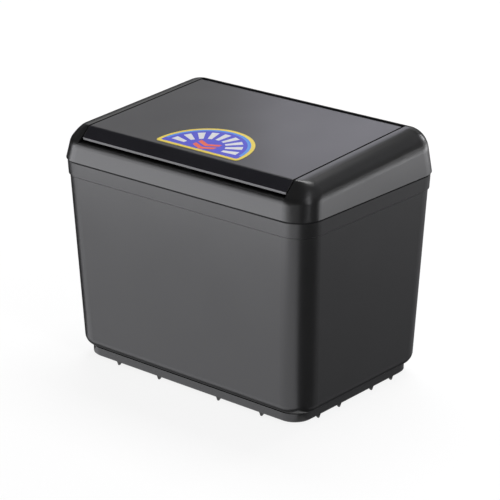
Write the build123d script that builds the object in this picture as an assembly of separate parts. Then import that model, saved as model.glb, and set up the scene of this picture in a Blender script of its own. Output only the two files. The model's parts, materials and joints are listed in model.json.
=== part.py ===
"""Car trash bin with a press-to-open lid, in millimetres.

X is the width, Y runs from the front to the back, Z is up, and the spike tips stand on Z = 0.
The lid's plane rises a little towards the back, so its parts are placed by their depth below it.
"""
from build123d import *
import os
from math import asin, atan, cos, degrees, hypot, radians, sin, sqrt, tan

# Outline at the seam, where the top frame sits on the bin's rim
HALF_WIDTH = 121.1
HALF_DEPTH = 82.7
CORNER_RADIUS = 20.0
WALL = 2.2
FIT_GAP = 0.3
SEAT_GAP = 0.02

# Heights of the bin, from the spike tips up
BASE_Z = 2.1
FLOOR_Z = 9.0
FLOOR_THICKNESS = 2.5
STEP_Z = 150.0
SEAM_Z = 163.0

# How far the bin's outside lies in from the seam outline
FOOT_INSET = 7.8
BELOW_STEP_INSET = 1.9
ABOVE_STEP_INSET = 1.1
RIM_INSET = 0.6
BOTTOM_ROUND = 9.0

# Base with its gripping spikes
BASE_HALF_X = 107.0
BASE_HALF_Y = 70.0
BASE_CORNER = 15.0
BASE_WALL = 3.0
BASE_FLOOR = 2.2
BASE_EDGE_BEVEL = 1.0
SPIKES_ALONG_X = (-72.0, -30.0, 30.0, 72.0)
SPIKES_ALONG_Y = (-44.6, -19.8, 19.8, 44.6)
SPIKE_ROOT = 3.8
SPIKE_TIP = 1.2
SPIKE_INSET = 2.0
SPIKE_LEAN = 1.0

# Ballast plate and the screws that hold the base on
BALLAST_X = 170.0
BALLAST_Y = 100.0
BALLAST_THICKNESS = 2.8
BALLAST_CORNER = 6.0
POCKET_RIB = 1.5
POCKET_RIB_HEIGHT = 2.0
BOSS_X = 62.0
BOSS_Y = 34.0
BOSS_RADIUS = 4.0
SCREW_RADIUS = 1.25
PILOT_RADIUS = 1.3
SCREW_LENGTH = 6.8
HEAD_RADIUS = 2.8
HEAD_HEIGHT = 1.6
HEAD_RECESS = 0.15

# Crown of the top frame: lean of each band and radius of the round above it
LID_MID_Z = 193.05
LID_SLOPE = 0.0647
SIDE_LEAN = 8.0
SIDE_BAND = 12.5
SIDE_ROUND = 17.5
FRONT_LEAN = 12.0
FACE_LEAN = 47.0
FACE_EDGE_Z = 181.3
FOOT_ROUND = 9.0
FOLD_ROUND = 3.0
LEAST_ROUND = 0.3
REAR_LEAN = 8.0
REAR_ROUND = 18.0
CORNER_SHRINK = 1.1
CORNER_LEAST = 2.0
CROWN_SECTIONS = (3, 4, 3)

# Opening in the frame, its ledge and the chute below it
OPENING_HALF_X = 100.1
OPENING_REAR_Y = 64.8
LEDGE_DEPTH = 10.6
MOUTH_HALF_X = 92.8
MOUTH_FRONT_Y = -60.0
MOUTH_REAR_Y = 47.0
MOUTH_CORNER = 12.0
CHUTE_Z = 156.0
COLLAR_Z = 157.0
COLLAR_TOP_Z = 167.5
COLLAR_WALL = 1.8
BEAD_Z = 159.5
BEAD_HALF_X = 22.0
BEAD_SIZE = 1.2
BEAD_REACH = 0.6
FRONT_RIBS_X = (-76.0, -42.0, 42.0, 76.0)
SIDE_RIBS_Y = (-36.0, 0.0, 36.0)
RIB_THICKNESS = 1.6
RIB_LOW_Z = 168.0

# Lid, flush with the crown
LID_HALF_X = 99.0
LIP_FRONT_Y = -74.9
LIP_LOW_Z = 179.6
LIP_THICKNESS = 2.5
LIP_TOP_Z = 183.0
SKIRT_THICKNESS = 2.0
SKIRT_DEPTH = 7.5
SKIRT_FRONT_Y = -72.0
SKIRT_REAR_Y = 50.0
LID_RIBS_X = (-66.0, -33.0, 33.0, 66.0)
LID_RIBS_Y = (-30.0, 12.0)
LID_RIB_DEPTH = 5.5
LID_RIB_FRONT_Y = -62.0

# Hinge along the lid's rear edge
HINGE_Y = 59.8
BARREL_RADIUS = 4.6
PIN_RADIUS = 1.25
PIN_RUNNING_GAP = 0.05
PIN_INNER_X = 69.0
PIN_OUTER_X = 106.5
BORE_INNER_X = 66.0
EAR_RADIUS = 3.6
EAR_OUTER_X = 108.0

# Torsion springs on the hinge pins
COIL_RADIUS = 1.95
COIL_WIRE = 0.35
COIL_PITCH = 2.3
COIL_TURNS = 2.25
COIL_START_X = 73.0
COIL_CLEARANCE = 2.75
NOTCH_INNER_X = 71.0
NOTCH_OUTER_X = 83.0
NOTCH_REACH = 5.5
LID_LEG_LENGTH = 16.0
WIRE_SIDES = 6

# Push latch behind the lip
LATCH_Y = -68.0
STRIKE_HALF_X = 2.0
STRIKE_HALF_Y = 1.2
STRIKE_LOW_Z = 177.9
PAD_HALF_X = 2.2
PAD_Y = (-71.0, -61.0)
PAD_THICKNESS = 1.2
PLUNGER_HALF_X = 5.5
PLUNGER_HALF_Y = 2.5
PLUNGER_LOW_Z = 160.0
PLUNGER_TOP_Z = 179.4
THROAT_HALF_X = 2.7
THROAT_Z = 177.6
JAW_CHAMFER = 0.7
LATCH_SLIDE_GAP = 0.3
HOUSING_HALF_X = 8.5
HOUSING_HALF_Y = 5.2
HOUSING_LOW_Z = 151.5
HOUSING_FLOOR = 2.0
HOUSING_CORNER = 1.2
FLANGE_HALF_X = 16.5
FLANGE_LOW_Z = 170.0
FLANGE_TOP_Z = 172.5
FLANGE_CORNER = 3.0
LATCH_SCREW_X = 12.5
LATCH_BOSS_RADIUS = 3.2
LATCH_BOSS_TOP_Z = 177.0
LATCH_SCREW_RADIUS = 1.0
LATCH_SCREW_TOP_Z = 176.2
LATCH_HEAD_RADIUS = 2.2
LATCH_HEAD_HEIGHT = 1.5
LATCH_COIL_RADIUS = 1.6
LATCH_COIL_WIRE = 0.25
LATCH_COIL_TURNS = 3.0

# Heart-shaped track on the plunger and the wire that follows it
TRACK_Z = 167.5
TRACK_HALF_X = 3.4
TRACK_HEIGHT = 9.2
TRACK_DEPTH = 1.1
TRACK_CORNER = 0.8
ISLAND_Z = 167.7
ISLAND_HALF_X = 1.7
ISLAND_HALF_Z = 1.6
ISLAND_DIP_Z = 168.34
FOLLOWER_RADIUS = 0.45
FOLLOWER_LOW_Z = 157.5
FOLLOWER_TIP_Z = 169.3

# Half-round sticker on the lid
LABEL_X = 3.0
LABEL_FRONT_Y = -62.0
LABEL_MIDDLE_Y = -56.0
LABEL_RADIUS = 39.8
LABEL_CORNER = 3.0
LABEL_THICKNESS = 0.25

# Values that follow from the dimensions above
TILT = degrees(atan(LID_SLOPE))
HINGE_Z = LID_MID_Z + LID_SLOPE * HINGE_Y - BARREL_RADIUS / cos(radians(TILT))
TRAY_FLOOR_Z = BASE_Z + BASE_FLOOR
FOLLOWER_Y = LATCH_Y - PLUNGER_HALF_Y - LATCH_SLIDE_GAP - 2 * FOLLOWER_RADIUS
FAR = 300.0


def outline(half_x, half_y, radius, z):
    """Level rounded rectangle."""
    return Plane.XY.offset(z) * RectangleRounded(2 * half_x, 2 * half_y, radius)


def prism(half_x, half_y, radius, z_low, z_high):
    """Upright block with rounded corners."""
    return extrude(outline(half_x, half_y, radius, z_low), z_high - z_low)


def block(x_range, y_range, z_range):
    """Plain block between pairs of limits."""
    (x0, x1), (y0, y1), (z0, z1) = x_range, y_range, z_range
    return Pos((x0 + x1) / 2, (y0 + y1) / 2, (z0 + z1) / 2) * Box(x1 - x0, y1 - y0, z1 - z0)


def side_profile(points, half_x):
    """Outline of Y and Z points, drawn out to both sides."""
    face = make_face(Polyline(*points, close=True))
    return extrude(Plane.YZ * face, half_x, both=True)


def rod_x(x0, x1, radius, y, z):
    """Round bar along X."""
    return Pos((x0 + x1) / 2, y, z) * Rot(0, 90, 0) * Cylinder(radius, x1 - x0)


def post(x, y, z_low, z_high, radius):
    """Upright round post."""
    return Pos(x, y, (z_low + z_high) / 2) * Cylinder(radius, z_high - z_low)


def lid_z(y, depth=0.0):
    """Height at a depth below the lid's plane."""
    return LID_MID_Z + LID_SLOPE * y - depth


def lid_slab(y_front, y_rear, depth_top, depth_low, half_x):
    """Slab between two depths below the lid's plane."""
    points = [
        (y_front, lid_z(y_front, depth_low)),
        (y_rear, lid_z(y_rear, depth_low)),
        (y_rear, lid_z(y_rear, depth_top)),
        (y_front, lid_z(y_front, depth_top)),
    ]
    return side_profile(points, half_x)


def both_sides(shape):
    """A shape and its mirror image across the middle of the bin."""
    return shape + mirror(shape, about=Plane.YZ)


def round_step(lean, radius, angle):
    """Run inwards and rise along a round that starts at a leaning band."""
    run = radius * (cos(radians(lean)) - cos(radians(angle)))
    rise = radius * (sin(radians(angle)) - sin(radians(lean)))
    return run, rise


def meet(first, second):
    """Point where two lines cross, each given by a point and its lean from upright."""
    (y_a, z_a), lean_a = first
    (y_b, z_b), lean_b = second
    slope_a, slope_b = tan(radians(lean_a)), tan(radians(lean_b))
    z = (y_b - y_a + slope_a * z_a - slope_b * z_b) / (slope_a - slope_b)
    return y_a + slope_a * (z - z_a), z


def front_arcs(inset):
    """Rounds at the foot of the lid's front face and at its fold: radius, leans, and ends in y and z."""
    face_y = LIP_FRONT_Y + inset * cos(radians(FACE_LEAN))
    face_z = FACE_EDGE_Z - inset * sin(radians(FACE_LEAN))
    band = ((inset - HALF_DEPTH, SEAM_Z), FRONT_LEAN)
    face = ((face_y, face_z), FACE_LEAN)
    plane = ((0.0, LID_MID_Z - inset), 90.0 - TILT)
    arcs = []
    for low, high, full_radius in ((band, face, FOOT_ROUND), (face, plane, FOLD_ROUND)):
        radius = max(full_radius - inset, LEAST_ROUND)
        y, z = meet(low, high)
        length = radius * tan(radians(high[1] - low[1]) / 2)
        start = (y - length * sin(radians(low[1])), z - length * cos(radians(low[1])))
        stop = (y + length * sin(radians(high[1])), z + length * cos(radians(high[1])))
        arcs.append((radius, low[1], start, stop))
    return arcs


def front_edge(share, inset):
    """Point on the crown's front, from the band's top (0) over face and fold to the lid's plane (1)."""
    foot, fold = front_arcs(inset)
    z = foot[2][1] + (fold[3][1] - foot[2][1]) * side_rise(share)
    if foot[3][1] <= z <= fold[2][1]:
        return foot[3][0] + (z - foot[3][1]) * tan(radians(FACE_LEAN)), z
    radius, lean, (y_start, z_start), _ = foot if z < foot[3][1] else fold
    turn = sin(radians(lean)) + (z - z_start) / radius
    return y_start + radius * (cos(radians(lean)) - sqrt(1.0 - turn**2)), z


def side_rise(share):
    """Share of the height that the side's round has reached."""
    least = sin(radians(SIDE_LEAN))
    return (sin(radians(SIDE_LEAN + share * (90.0 - SIDE_LEAN))) - least) / (1.0 - least)


def side_share(rise):
    """Share of the side's round at which it reaches a height."""
    least = sin(radians(SIDE_LEAN))
    return (degrees(asin(least + rise * (1.0 - least))) - SIDE_LEAN) / (90.0 - SIDE_LEAN)


def rear_edge(share, inset):
    """Point on the crown's rear round, from the band's top (0) to the lid's plane (1)."""
    radius = REAR_ROUND - inset
    run, rise = round_step(REAR_LEAN, radius, 90.0 + TILT)
    top = LID_MID_Z - inset + LID_SLOPE * (HALF_DEPTH - inset - run)
    height = (top - SEAM_Z - rise) / (1.0 + LID_SLOPE * tan(radians(REAR_LEAN)))
    run, rise = round_step(REAR_LEAN, radius, REAR_LEAN + share * (90.0 + TILT - REAR_LEAN))
    return HALF_DEPTH - inset - height * tan(radians(REAR_LEAN)) - run, SEAM_Z + height + rise


def crown_section(share, inset):
    """Rounded rectangle across the crown, from the band's top (0) to the lid's plane (1)."""
    y_front, z_front = front_edge(share, inset)
    y_rear, z_rear = rear_edge(share, inset)
    side_run, _ = round_step(SIDE_LEAN, SIDE_ROUND - inset, SIDE_LEAN + share * (90.0 - SIDE_LEAN))
    half_x = HALF_WIDTH - inset - SIDE_BAND * tan(radians(SIDE_LEAN)) - side_run
    plane = Plane(
        origin=(0, (y_front + y_rear) / 2, (z_front + z_rear) / 2),
        x_dir=(1, 0, 0),
        z_dir=(0, z_front - z_rear, y_rear - y_front),
    )
    corner = max(CORNER_RADIUS - inset - CORNER_SHRINK * side_run, CORNER_LEAST)
    return plane * RectangleRounded(2 * half_x, hypot(y_rear - y_front, z_rear - z_front), corner)


def crown(inset=0.0):
    """Closed form of the top: leaning bands, rounds, the lid's front face and its sloping plane."""
    seam = outline(HALF_WIDTH - inset, HALF_DEPTH - inset, CORNER_RADIUS - inset, SEAM_Z)
    solid = loft([seam, crown_section(0.0, inset)], ruled=True)
    foot, fold = front_arcs(inset)
    low, high = foot[2][1], fold[3][1]
    shares = [0.0, *(side_share((z - low) / (high - low)) for z in (foot[3][1], fold[2][1])), 1.0]
    for start, stop, count in zip(shares, shares[1:], CROWN_SECTIONS):
        steps = [start + (stop - start) * step / (count - 1) for step in range(count)]
        solid += loft([crown_section(step, inset) for step in steps])
    return solid


def bucket(inset, z_low, round_radius):
    """Tapered bucket with the stepped band at its rim, drawn in by an inset."""
    taper = (FOOT_INSET - BELOW_STEP_INSET) / (STEP_Z - FLOOR_Z)
    levels = (
        (FOOT_INSET - taper * (z_low - FLOOR_Z), z_low),
        (BELOW_STEP_INSET, STEP_Z),
        (ABOVE_STEP_INSET, STEP_Z + BELOW_STEP_INSET - ABOVE_STEP_INSET),
        (RIM_INSET, SEAM_Z),
    )
    sections = []
    for level_inset, z in levels:
        total = level_inset + inset
        sections.append(outline(HALF_WIDTH - total, HALF_DEPTH - total, CORNER_RADIUS - inset, z))
    shape = loft(sections, ruled=True)
    return fillet(shape.faces().sort_by(Axis.Z)[0].edges(), round_radius)


def boss_places():
    """Places of the four screws that hold the base."""
    return [(x, y) for x in (-BOSS_X, BOSS_X) for y in (-BOSS_Y, BOSS_Y)]


def bin_body():
    """Bucket with screw bosses under its floor and grooves that hold the frame's beads."""
    shape = bucket(0.0, FLOOR_Z, BOTTOM_ROUND)
    shape -= bucket(WALL, FLOOR_Z + FLOOR_THICKNESS, BOTTOM_ROUND - WALL)
    for x, y in boss_places():
        shape += post(x, y, TRAY_FLOOR_Z, FLOOR_Z + FLOOR_THICKNESS / 2, BOSS_RADIUS)
    for x, y in boss_places():
        shape -= post(x, y, TRAY_FLOOR_Z, FLOOR_Z + FLOOR_THICKNESS / 2, PILOT_RADIUS)
    rim_inside = HALF_DEPTH - RIM_INSET - WALL
    groove = BEAD_SIZE / 2 + FIT_GAP
    for end in (-1, 1):
        reach = sorted((end * (rim_inside - BEAD_SIZE), end * (rim_inside + BEAD_REACH)))
        half_x = BEAD_HALF_X + FIT_GAP
        shape -= block((-half_x, half_x), reach, (BEAD_Z - groove, BEAD_Z + groove))
    return shape


def spike(x, y, lean_x, lean_y):
    """Four-sided spike that leans out to the base's edge."""
    root = Pos(x, y, BASE_Z + BASE_FLOOR / 2) * Rectangle(SPIKE_ROOT, SPIKE_ROOT)
    tip = Pos(x + lean_x, y + lean_y, 0.0) * Rectangle(SPIKE_TIP, SPIKE_TIP)
    return loft([root, tip], ruled=True)


def spike_base():
    """Shallow tray under the bin, with a pocket for the ballast and spikes round its edge."""
    shape = prism(BASE_HALF_X, BASE_HALF_Y, BASE_CORNER, BASE_Z, FLOOR_Z)
    shape = chamfer(shape.faces().sort_by(Axis.Z)[0].edges(), BASE_EDGE_BEVEL)
    inner_x = BASE_HALF_X - BASE_WALL
    inner_y = BASE_HALF_Y - BASE_WALL
    shape -= prism(inner_x, inner_y, BASE_CORNER - BASE_WALL, TRAY_FLOOR_Z, FLOOR_Z)
    rib_top = TRAY_FLOOR_Z + POCKET_RIB_HEIGHT
    half_x = BALLAST_X / 2 + FIT_GAP
    half_y = BALLAST_Y / 2 + FIT_GAP
    grown = BALLAST_CORNER + POCKET_RIB
    rib = prism(half_x + POCKET_RIB, half_y + POCKET_RIB, grown, TRAY_FLOOR_Z, rib_top)
    shape += rib - prism(half_x, half_y, BALLAST_CORNER, TRAY_FLOOR_Z, rib_top)
    for x in SPIKES_ALONG_X:
        for end in (-1, 1):
            shape += spike(x, end * (BASE_HALF_Y - SPIKE_INSET), 0.0, end * SPIKE_LEAN)
    for y in SPIKES_ALONG_Y:
        for end in (-1, 1):
            shape += spike(end * (BASE_HALF_X - SPIKE_INSET), y, end * SPIKE_LEAN, 0.0)
    for x, y in boss_places():
        shape -= post(x, y, BASE_Z, TRAY_FLOOR_Z, SCREW_RADIUS + FIT_GAP)
        shape -= screw_cone(x, y, SEAT_GAP)
        shape -= post(x, y, BASE_Z, BASE_Z + HEAD_RECESS, HEAD_RADIUS + SEAT_GAP)
    return shape


def ballast_plate():
    """Steel plate that keeps the bin upright, with clear holes round the screw bosses."""
    half_x, half_y = BALLAST_X / 2, BALLAST_Y / 2
    shape = prism(half_x, half_y, BALLAST_CORNER, TRAY_FLOOR_Z, TRAY_FLOOR_Z + BALLAST_THICKNESS)
    for x, y in boss_places():
        shape -= post(x, y, TRAY_FLOOR_Z, FLOOR_Z, BOSS_RADIUS + 2 * FIT_GAP)
    return shape


def screw_cone(x, y, gap=0.0):
    """Countersunk head of a base screw, grown by a gap for its seat."""
    cone = Cone(HEAD_RADIUS + gap, SCREW_RADIUS + gap, HEAD_HEIGHT)
    return Pos(x, y, BASE_Z + HEAD_RECESS + HEAD_HEIGHT / 2) * cone


def base_screws():
    """Four countersunk screws, driven up into the bin's bosses."""
    low = BASE_Z + HEAD_RECESS
    screws = []
    for x, y in boss_places():
        shank = post(x, y, low + HEAD_HEIGHT / 2, low + SCREW_LENGTH, SCREW_RADIUS)
        screws.append(screw_cone(x, y) + shank)
    return Compound(children=screws)


def collar():
    """Ring inside the bin's rim that carries the frame's two clip beads."""
    rim_x = HALF_WIDTH - RIM_INSET - WALL
    rim_y = HALF_DEPTH - RIM_INSET - WALL
    radius = CORNER_RADIUS - WALL
    out_x, out_y = rim_x - FIT_GAP, rim_y - FIT_GAP
    ring = prism(out_x, out_y, radius + FIT_GAP, COLLAR_Z, SEAM_Z)
    in_skin = WALL / 2
    upper = prism(HALF_WIDTH - in_skin, HALF_DEPTH - in_skin, CORNER_RADIUS - in_skin, SEAM_Z, COLLAR_TOP_Z)
    ring += crown() & upper
    for end in (-1, 1):
        bead = Pos(0, end * (out_y - BEAD_SIZE / 2 + BEAD_REACH), BEAD_Z)
        ring += bead * Box(2 * BEAD_HALF_X, BEAD_SIZE, BEAD_SIZE)
    inner = COLLAR_WALL + FIT_GAP
    return ring - prism(rim_x - inner, rim_y - inner, radius - inner, COLLAR_Z, COLLAR_TOP_Z)


def mouth(grow, z_low, z_high):
    """Upright prism of the mouth's outline, grown by a wall."""
    half_y = (MOUTH_REAR_Y - MOUTH_FRONT_Y) / 2 + grow
    middle = (MOUTH_REAR_Y + MOUTH_FRONT_Y) / 2
    return Pos(0, middle, 0) * prism(MOUTH_HALF_X + grow, half_y, MOUTH_CORNER + grow, z_low, z_high)


def frame_ribs():
    """Upright ribs between the chute and the frame's outer wall."""
    half = RIB_THICKNESS / 2
    front_z = (RIB_LOW_Z, lid_z(-HALF_DEPTH, LEDGE_DEPTH))
    ribs = []
    for x in FRONT_RIBS_X:
        ribs.append(block((x - half, x + half), (-HALF_DEPTH, MOUTH_FRONT_Y), front_z))
    for y in SIDE_RIBS_Y:
        for end in (-1, 1):
            reach = sorted((end * MOUTH_HALF_X, end * HALF_WIDTH))
            ribs.append(block(reach, (y - half, y + half), (RIB_LOW_Z, lid_z(y, LEDGE_DEPTH))))
    solid = crown()
    return [rib & solid for rib in ribs]


def top_frame():
    """Frame that clips on the rim: crown skin, ledge round the lid, chute, hinge ears and latch seat."""
    solid = crown()
    hollow = crown(WALL)
    shape = solid - hollow
    floor_depth = LEDGE_DEPTH + WALL
    rear = OPENING_REAR_Y + WALL
    shape += solid & lid_slab(-HALF_DEPTH, rear, -FAR, floor_depth, OPENING_HALF_X + WALL)
    shape += mouth(WALL, CHUTE_Z, lid_z(MOUTH_FRONT_Y, LEDGE_DEPTH + WALL / 2))
    shape += solid & mouth(WALL, SEAM_Z, lid_z(MOUTH_REAR_Y, LEDGE_DEPTH + WALL / 2))
    shape += collar()
    for rib in frame_ribs():
        shape += rib
    ear = rod_x(OPENING_HALF_X, EAR_OUTER_X, EAR_RADIUS, HINGE_Y, HINGE_Z) & solid
    shape += both_sides(ear)
    for x in (-LATCH_SCREW_X, LATCH_SCREW_X):
        shape += post(x, LATCH_Y, FLANGE_TOP_Z, LATCH_BOSS_TOP_Z, LATCH_BOSS_RADIUS)
    shape -= lid_slab(-FAR, OPENING_REAR_Y, -FAR, LEDGE_DEPTH, OPENING_HALF_X)
    shape -= mouth(0.0, CHUTE_Z, FAR)
    shape -= both_sides(rod_x(OPENING_HALF_X, PIN_OUTER_X, PIN_RADIUS + SEAT_GAP, HINGE_Y, HINGE_Z))
    hole_x = PLUNGER_HALF_X + LATCH_SLIDE_GAP
    hole_y = PLUNGER_HALF_Y + LATCH_SLIDE_GAP
    shape -= block((-hole_x, hole_x), (LATCH_Y - hole_y, LATCH_Y + hole_y), (FLANGE_TOP_Z, PLUNGER_TOP_Z))
    for x in (-LATCH_SCREW_X, LATCH_SCREW_X):
        shape -= post(x, LATCH_Y, FLANGE_TOP_Z, LATCH_SCREW_TOP_Z, LATCH_SCREW_RADIUS + SEAT_GAP)
    return shape


def lid_ribs():
    """Thin ribs that stiffen the lid from below."""
    half = RIB_THICKNESS / 2
    rear = HINGE_Y - 2 * BARREL_RADIUS
    ribs = []
    for x in LID_RIBS_X:
        ribs.append(Pos(x, 0, 0) * lid_slab(LID_RIB_FRONT_Y, rear, WALL / 2, LID_RIB_DEPTH, half))
    for y in LID_RIBS_Y:
        ribs.append(lid_slab(y - half, y + half, WALL / 2, LID_RIB_DEPTH, LID_HALF_X - SKIRT_THICKNESS / 2))
    return ribs


def lid():
    """Lid flush with the frame: rolled front lip, side skirts, ribs and rear hinge barrel."""
    solid = crown()
    reach = [(LIP_FRONT_Y, LIP_LOW_Z), (HINGE_Y, LIP_LOW_Z), (HINGE_Y, FAR), (LIP_FRONT_Y, FAR)]
    shape = (solid - crown(WALL)) & side_profile(reach, LID_HALF_X)
    lip_y = (LIP_FRONT_Y, LIP_FRONT_Y + LIP_THICKNESS)
    shape += solid & block((-LID_HALF_X, LID_HALF_X), lip_y, (LIP_LOW_Z, LIP_TOP_Z))
    skirt = lid_slab(SKIRT_FRONT_Y, SKIRT_REAR_Y, WALL / 2, SKIRT_DEPTH, LID_HALF_X)
    skirt -= lid_slab(-FAR, FAR, -FAR, FAR, LID_HALF_X - SKIRT_THICKNESS)
    shape += solid & skirt
    for rib in lid_ribs():
        shape += solid & rib
    shape += rod_x(-LID_HALF_X, LID_HALF_X, BARREL_RADIUS, HINGE_Y, HINGE_Z)
    notch_y = (HINGE_Y - NOTCH_REACH, HINGE_Y + NOTCH_REACH)
    notch_z = (HINGE_Z - NOTCH_REACH, HINGE_Z + COIL_CLEARANCE)
    shape -= both_sides(block((NOTCH_INNER_X, NOTCH_OUTER_X), notch_y, notch_z))
    bore = PIN_RADIUS + PIN_RUNNING_GAP
    shape -= both_sides(rod_x(BORE_INNER_X, LID_HALF_X, bore, HINGE_Y, HINGE_Z))
    return shape


def lid_strike():
    """Catch under the lid: a pad that follows the lid's inside and a post that enters the latch's jaw."""
    inside = crown(WALL + SEAT_GAP)
    pad = inside - crown(WALL + SEAT_GAP + PAD_THICKNESS)
    pad &= block((-PAD_HALF_X, PAD_HALF_X), PAD_Y, (LIP_LOW_Z, FAR))
    post_y = (LATCH_Y - STRIKE_HALF_Y, LATCH_Y + STRIKE_HALF_Y)
    return pad + (inside & block((-STRIKE_HALF_X, STRIKE_HALF_X), post_y, (STRIKE_LOW_Z, lid_z(LATCH_Y))))


def hinge_pin(side):
    """Steel pin from the lid's barrel into the frame's ear."""
    inner, outer = sorted((side * PIN_INNER_X, side * PIN_OUTER_X))
    return rod_x(inner, outer, PIN_RADIUS, HINGE_Y, HINGE_Z)


def wire_coil(path, radius):
    """Wire along a helix, its round section drawn with a few flats."""
    section = Plane(origin=path @ 0, z_dir=path % 0) * RegularPolygon(radius, WIRE_SIDES)
    return sweep(section, path=path, is_frenet=True)


def coil_and_legs():
    """Right-hand torsion spring: one leg forward under the lid, one leg down on the ledge."""
    place = Plane(origin=(COIL_START_X, HINGE_Y, HINGE_Z), x_dir=(0, 0, 1), z_dir=(1, 0, 0))
    path = place * Helix(COIL_PITCH, COIL_PITCH * COIL_TURNS, COIL_RADIUS, lefthand=True)
    coil = wire_coil(path, COIL_WIRE)
    start = path @ 0
    end = path @ 1
    section = RegularPolygon(COIL_WIRE, WIRE_SIDES)
    forward = Vector(0, -1, -LID_SLOPE).normalized()
    lid_leg = extrude(Plane(origin=start, z_dir=forward) * section, LID_LEG_LENGTH)
    drop = end.Z - lid_z(end.Y, LEDGE_DEPTH) - 2 * SEAT_GAP
    ledge_leg = extrude(Plane(origin=end, z_dir=(0, 0, -1)) * section, drop)
    return coil + lid_leg + ledge_leg


def latch_housing():
    """Guide that hangs from the ledge by two ears and holds the plunger's spring."""
    top = lid_z(LATCH_Y - HOUSING_HALF_Y, LEDGE_DEPTH + WALL) - SEAT_GAP
    span_y = (LATCH_Y - HOUSING_HALF_Y, LATCH_Y + HOUSING_HALF_Y)
    shape = block((-HOUSING_HALF_X, HOUSING_HALF_X), span_y, (HOUSING_LOW_Z, top))
    shape = fillet(shape.edges().filter_by(Axis.Z), HOUSING_CORNER)
    flange = prism(FLANGE_HALF_X, HOUSING_HALF_Y, FLANGE_CORNER, FLANGE_LOW_Z, FLANGE_TOP_Z)
    shape += Pos(0, LATCH_Y, 0) * flange
    slot_x = PLUNGER_HALF_X + LATCH_SLIDE_GAP
    slot_y = PLUNGER_HALF_Y + LATCH_SLIDE_GAP
    floor_z = HOUSING_LOW_Z + HOUSING_FLOOR
    shape -= block((-slot_x, slot_x), (LATCH_Y - slot_y, LATCH_Y + slot_y), (floor_z, FAR))
    window_y = (LATCH_Y - HOUSING_HALF_Y, LATCH_Y - slot_y)
    window_x = TRACK_HALF_X + LATCH_SLIDE_GAP
    shape -= block((-window_x, window_x), window_y, (FOLLOWER_LOW_Z + 2 * FOLLOWER_RADIUS, FLANGE_TOP_Z))
    recess_y = (LATCH_Y - HOUSING_HALF_Y, FOLLOWER_Y + FOLLOWER_RADIUS + SEAT_GAP)
    recess_x = FOLLOWER_RADIUS + SEAT_GAP
    shape -= block((-recess_x, recess_x), recess_y, (FOLLOWER_LOW_Z - recess_x, FLANGE_LOW_Z))
    shape -= follower_bar(FOLLOWER_LOW_Z, LATCH_Y - HOUSING_HALF_Y, LATCH_Y - slot_y, SEAT_GAP)
    for x in (-LATCH_SCREW_X, LATCH_SCREW_X):
        shape -= post(x, LATCH_Y, FLANGE_LOW_Z, FLANGE_TOP_Z, LATCH_SCREW_RADIUS + FIT_GAP)
    return shape


def heart_track():
    """Heart-shaped loop of the push latch, cut into the plunger's front face."""
    low = TRACK_Z - TRACK_HEIGHT / 2
    high = TRACK_Z + TRACK_HEIGHT / 2
    outside = [
        (0, low),
        (TRACK_HALF_X, TRACK_Z),
        (TRACK_HALF_X, high),
        (-TRACK_HALF_X, high),
        (-TRACK_HALF_X, TRACK_Z),
    ]
    island = [
        (0, ISLAND_Z - ISLAND_HALF_Z),
        (ISLAND_HALF_X, ISLAND_Z),
        (ISLAND_HALF_X, ISLAND_Z + ISLAND_HALF_Z),
        (0, ISLAND_DIP_Z),
        (-ISLAND_HALF_X, ISLAND_Z + ISLAND_HALF_Z),
        (-ISLAND_HALF_X, ISLAND_Z),
    ]
    face = make_face(Polyline(*outside, close=True))
    face = fillet(face.vertices(), TRACK_CORNER) - make_face(Polyline(*island, close=True))
    plane = Plane(origin=(0, LATCH_Y - PLUNGER_HALF_Y, 0), x_dir=(1, 0, 0), z_dir=(0, -1, 0))
    return extrude(plane * face, -TRACK_DEPTH)


def latch_plunger():
    """Slider with a two-prong jaw for the lid's strike, a heart track and a seat for its spring."""
    span_y = (LATCH_Y - PLUNGER_HALF_Y, LATCH_Y + PLUNGER_HALF_Y)
    shape = block((-PLUNGER_HALF_X, PLUNGER_HALF_X), span_y, (PLUNGER_LOW_Z, PLUNGER_TOP_Z))
    throat = block((-THROAT_HALF_X, THROAT_HALF_X), span_y, (THROAT_Z, PLUNGER_TOP_Z))
    shape -= throat
    lead = shape.edges().filter_by(Axis.Y).group_by(Axis.Z)[-1]
    shape = chamfer(lead, JAW_CHAMFER)
    return shape - heart_track()


def latch_spring():
    """Compression spring between the housing's floor and the plunger."""
    low = HOUSING_LOW_Z + HOUSING_FLOOR + LATCH_COIL_WIRE
    height = PLUNGER_LOW_Z - LATCH_COIL_WIRE - low - 2 * SEAT_GAP
    path = Pos(0, LATCH_Y, low + SEAT_GAP) * Helix(height / LATCH_COIL_TURNS, height, LATCH_COIL_RADIUS)
    return wire_coil(path, LATCH_COIL_WIRE)


def follower_bar(z, y0, y1, gap=0.0):
    """Round bar along Y, at the latch's middle."""
    return Pos(0, (y0 + y1) / 2, z) * Rot(90, 0, 0) * Cylinder(FOLLOWER_RADIUS + gap, y1 - y0)


def latch_follower():
    """Bent wire: its lower leg turns in the housing, its upper leg runs in the heart track."""
    shape = post(0, FOLLOWER_Y, FOLLOWER_LOW_Z, FOLLOWER_TIP_Z, FOLLOWER_RADIUS)
    shape += follower_bar(FOLLOWER_LOW_Z, FOLLOWER_Y, LATCH_Y - PLUNGER_HALF_Y - LATCH_SLIDE_GAP)
    shape += follower_bar(FOLLOWER_TIP_Z, FOLLOWER_Y, LATCH_Y - PLUNGER_HALF_Y + TRACK_DEPTH - FIT_GAP)
    for z in (FOLLOWER_LOW_Z, FOLLOWER_TIP_Z):
        shape += Pos(0, FOLLOWER_Y, z) * Sphere(FOLLOWER_RADIUS)
    return shape


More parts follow.
